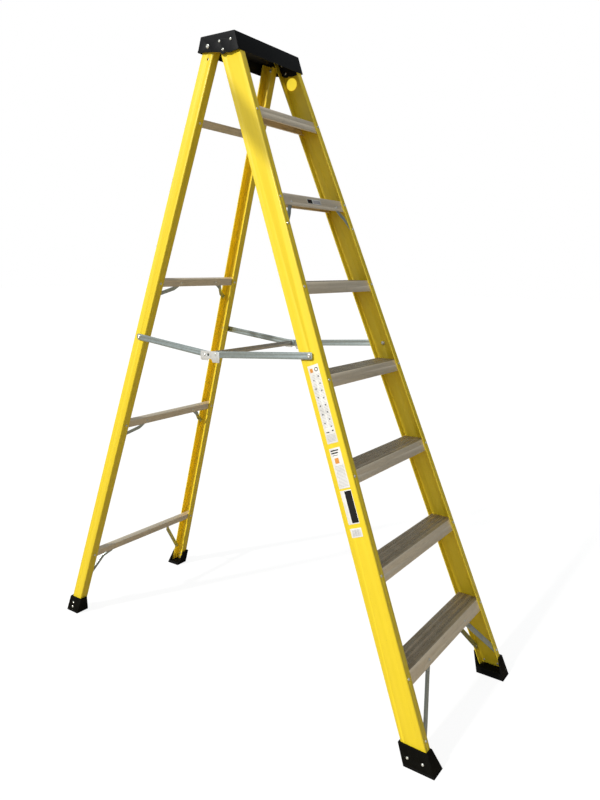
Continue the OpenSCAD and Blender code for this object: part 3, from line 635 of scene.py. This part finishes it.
def label_print():
    """Generic print on the label plates: bars, a ring and patches, with no lettering."""
    web = front_rail_place()
    dark, grey, orange, red = (bmesh.new() for _ in range(4))
    # Upper plate: two columns of short bars with small squares, then full-width bars
    for k in range(37):
        z = 1222 - 4.6 * k
        add_blocks(grey, web, PRINT_THIN, [(22, 22 + 13 + (k * 5) % 4, z, z + 1.3)])
        add_blocks(grey, web, PRINT_THIN, [(41, 41 + 12 + (k * 7) % 5, z - 1, z + 0.3)])
        if k % 5 == 1:
            add_blocks(dark, web, PRINT_BOLD, [(27, 31, z - 3, z + 1)])
        if k % 6 == 3:
            add_blocks(dark, web, PRINT_BOLD, [(47, 51, z - 3, z + 1)])
    add_blocks(dark, web, PRINT_BOLD, [(25, 31, 1040, 1044), (42, 53, 1038, 1041)])
    for k in range(6):
        add_blocks(grey, web, PRINT_THIN, [(24, 55, 1010 + 4 * k, 1011.4 + 4 * k)])
    add_blocks(orange, web, PRINT_BOLD, [(43, 54, 1232, 1245)])
    # Middle plate: three dark bars, a patch and a block of fine bars
    add_blocks(dark, web, PRINT_BOLD, [(27, 56, 979, 983), (30, 55, 971, 975), (33, 53, 965, 966.5)])
    add_blocks(orange, web, PRINT_BOLD, [(34, 49, 940, 957)])
    for k in range(16):
        add_blocks(grey, web, PRINT_THIN, [(23, 52 + (k * 5) % 6, 868 + 4.2 * k, 869.3 + 4.2 * k)])
    # Lower plates: one dark panel, and upright stripes
    add_blocks(dark, web, PRINT_BOLD, [(20.5, 45, 754, 853)])
    for k in range(9):
        add_blocks(grey, web, PRINT_THIN, [(24 + 3.4 * k, 25.4 + 3.4 * k + (k % 3) * 0.5, 714, 734)])
    add_ring(dark, web)
    # Plate on the second tread's apron
    face = front_frame_place()
    up = TREAD_LOW + TREAD_PITCH * 5 - 0.027
    top = TREAD_SET - 0.00045
    for bm, x0, x1, z0, z1 in ((dark, -40, -12, 2, 16), (red, -38, -20, 9, 15), (grey, -6, 38, 3, 15)):
        add_box(bm, face, (x0 * MM, top - 0.00006, up + z0 * MM), (x1 * MM, top + 0.00002, up + z1 * MM))
    for name, bm, paint in (("print_dark", dark, ink_dark), ("print_grey", grey, ink_grey),
                            ("print_orange", orange, ink_orange), ("print_red", red, ink_red)):
        new_piece(name, bm, paint, "front_frame")


label_print()


# ---------------------------------------------------------------- shoe ribs and cap grip
# Half width and height of a shoe rib, how far a rib is sunk in its face, and its clearance to a rivet
RIB_HALF, RIB_HIGH, RIB_SUNK = 0.0008, 0.00055, 0.0003
RIB_CLEAR = 0.0078


def add_rib(bm, start, end, side, out, half, high):
    """A rib with a rounded back from start to end, standing out from a face."""
    shape = [(-half, 0.0), (-half, 0.45), (-0.5 * half, 1.0), (0.5 * half, 1.0), (half, 0.45), (half, 0.0)]
    rows = []
    for point in (start, end):
        rows.append([bm.verts.new(point + side * a + out * (b * high - RIB_SUNK)) for a, b in shape])
    count = len(shape)
    for k in range(count):
        n = (k + 1) % count
        bm.faces.new((rows[0][k], rows[0][n], rows[1][n], rows[1][k]))
    bm.faces.new(rows[0])
    bm.faces.new(rows[1])


def ribs_on(bm, corners, first, last, count, skip):
    """Upright ribs on the face with corners low-a, low-b, high-b, high-a, away from the places in skip."""
    low_a, low_b, high_b, high_a = (Vector(c) * MM for c in corners)
    side = (low_b - low_a).normalized()
    out = side.cross(high_a - low_a).normalized()
    if out.dot(Vector((-0.3, 0, 0.03)) - low_a) > 0:
        out = -out
    for k in range(count):
        t = first + (last - first) * k / (count - 1)
        foot = low_a.lerp(low_b, t)
        head = high_a.lerp(high_b, t)
        start, end = foot.lerp(head, 0.17), foot.lerp(head, 0.92)
        near = min((start.lerp(end, q / 12) - Vector(p) * MM).length for p in skip for q in range(13))
        if near > RIB_CLEAR:
            add_rib(bm, start, end, side, out, RIB_HALF, RIB_HIGH)


def mirrored(bm):
    """Adds the right hand copy of what the bmesh holds."""
    copy = bmesh.ops.duplicate(bm, geom=bm.verts[:] + bm.edges[:] + bm.faces[:])["geom"]
    for v in copy:
        if isinstance(v, bmesh.types.BMVert):
            v.co.x = -v.co.x


def shoe_ribs():
    """Fine upright ribs on the outer faces of all four shoes, clear of their rivets."""
    front = bmesh.new()
    ribs_on(front, ((-327, -837, 0), (-327, -737.5, 0), (-322.6, -714.5, 67), (-322.6, -810, 67)),
            0.06, 0.94, 18, [(-325.3, -748.8, 31), (-325.3, -798, 31)])
    mirrored(front)
    new_piece("front_shoe_ribs", front, boot_plastic, "front_frame")
    rear = bmesh.new()
    ribs_on(rear, ((-323, 771.5, 0), (-323, 837, 0), (-318.8, 814.5, 67), (-318.8, 749, 67)),
            0.08, 0.92, 11, [(-320.8, 795.4, 43), (-322, 800, 23)])
    mirrored(rear)
    new_piece("rear_shoe_ribs", rear, boot_plastic, "rear_frame")


shoe_ribs()


def cap_grip():
    """Low ribs across the tray in the top of the cap."""
    bm = bmesh.new()
    for k in range(9):
        y = (58 + 14 * k) * MM
        add_rib(bm, Vector((-0.168, y, TRAY_TOP)), Vector((0.168, y, TRAY_TOP)), Vector((0, 1, 0)),
                Vector((0, 0, 1)), half=0.0016, high=0.0018)
    new_piece("cap_grip", bm, cap_plastic, "front_frame")


cap_grip()


# ---------------------------------------------------------------- floor and light
def make_floor():
    """Plain pale floor: almost white to the camera, a warm dull ground to the object's reflections."""
    bm = bmesh.new()
    bmesh.ops.create_grid(bm, x_segments=1, y_segments=1, size=FLOOR_SIZE)
    mesh = bpy.data.meshes.new("floor")
    bm.to_mesh(mesh)
    bm.free()
    floor = bpy.data.objects.new("floor", mesh)
    floor.location.z = -FLOOR_DROP
    bpy.context.scene.collection.objects.link(floor)
    s = Shader("floor")
    mesh.materials.append(s.material)
    s.surface((0.42, 0.36, 0.28), 0.85, Specular_IOR_Level=0.0)
    seen = s.node("ShaderNodeLightPath")
    glow = s.node("ShaderNodeEmission")
    glow.inputs["Strength"].default_value = 0.90
    dull = s.node("ShaderNodeBsdfDiffuse")
    dull.inputs["Color"].default_value = (0.16, 0.16, 0.16, 1)
    pale = s.node("ShaderNodeAddShader")
    s.link(glow.outputs["Emission"], pale.inputs[0])
    s.link(dull.outputs["BSDF"], pale.inputs[1])
    both = s.node("ShaderNodeMixShader")
    s.link(seen.outputs["Is Camera Ray"], both.inputs["Fac"])
    s.link(s.bsdf.outputs["BSDF"], both.inputs[1])
    s.link(pale.outputs["Shader"], both.inputs[2])
    s.link(both.outputs["Shader"], s.tree.nodes["Material Output"].inputs["Surface"])


def make_world():
    """White backdrop to the camera; soft sky light from above and from the -X side otherwise."""
    world = bpy.data.worlds.new("studio")
    bpy.context.scene.world = world
    world.use_nodes = True
    tree = world.node_tree
    sky = tree.nodes["Background"]
    coords = tree.nodes.new("ShaderNodeTexCoord")
    toward = tree.nodes.new("ShaderNodeVectorMath")
    toward.operation = "DOT_PRODUCT"
    toward.inputs[1].default_value = (-0.62, 0.30, 0.72)
    tree.links.new(coords.outputs["Generated"], toward.inputs[0])
    level = tree.nodes.new("ShaderNodeMapRange")
    level.inputs["From Min"].default_value = -0.6
    level.inputs["From Max"].default_value = 0.9
    level.inputs["To Min"].default_value = SKY_DARK
    level.inputs["To Max"].default_value = SKY_BRIGHT
    tree.links.new(toward.outputs["Value"], level.inputs["Value"])
    sky.inputs["Color"].default_value = (0.92, 0.97, 1.0, 1)
    tree.links.new(level.outputs["Result"], sky.inputs["Strength"])
    backdrop = tree.nodes.new("ShaderNodeBackground")
    backdrop.inputs["Color"].default_value = (1, 1, 1, 1)
    seen = tree.nodes.new("ShaderNodeLightPath")
    both = tree.nodes.new("ShaderNodeMixShader")
    tree.links.new(seen.outputs["Is Camera Ray"], both.inputs["Fac"])
    tree.links.new(sky.outputs["Background"], both.inputs[1])
    tree.links.new(backdrop.outputs["Background"], both.inputs[2])
    tree.links.new(both.outputs["Shader"], tree.nodes["World Output"].inputs["Surface"])


def make_flag():
    """A half-dense flag towards the sun for the soft band of shade high on the near rail."""
    web = front_rail_place()
    toward = Vector(SUN_FROM).normalized() * FLAG_AWAY
    front, back = FLAG_EDGES
    corners = ((front, FLAG_FRONT[0]), (front, FLAG_FRONT[1]), (back, FLAG_BACK[1]), (back, FLAG_BACK[0]))
    mesh = bpy.data.meshes.new("flag")
    mesh.from_pydata([web @ Vector((0, y, z)) + toward for y, z in corners], [], [(0, 1, 2, 3)])
    flag = bpy.data.objects.new("flag", mesh)
    bpy.context.scene.collection.objects.link(flag)
    s = Shader("flag")
    veil = s.node("ShaderNodeBsdfTransparent")
    veil.inputs["Color"].default_value = (FLAG_PASSES, FLAG_PASSES, FLAG_PASSES, 1)
    s.link(veil.outputs["BSDF"], s.tree.nodes["Material Output"].inputs["Surface"])
    mesh.materials.append(s.material)
    for ray in ("visible_camera", "visible_diffuse", "visible_glossy"):
        setattr(flag, ray, False)


def make_sun():
    """Low warm sun from the -X side, so that the near rail shades the far one."""
    data = bpy.data.lights.new("key", "SUN")
    data.energy = SUN_STRENGTH
    data.angle = SUN_SPREAD
    data.color = (1.0, 0.97, 0.90)
    sun = bpy.data.objects.new("key", data)
    toward = -Vector(SUN_FROM).normalized()
    sun.matrix_world = toward.to_track_quat("-Z", "Y").to_matrix().to_4x4()
    bpy.context.scene.collection.objects.link(sun)


make_floor()
make_world()
make_flag()
make_sun()
bpy.context.scene.view_settings.view_transform = "Standard"
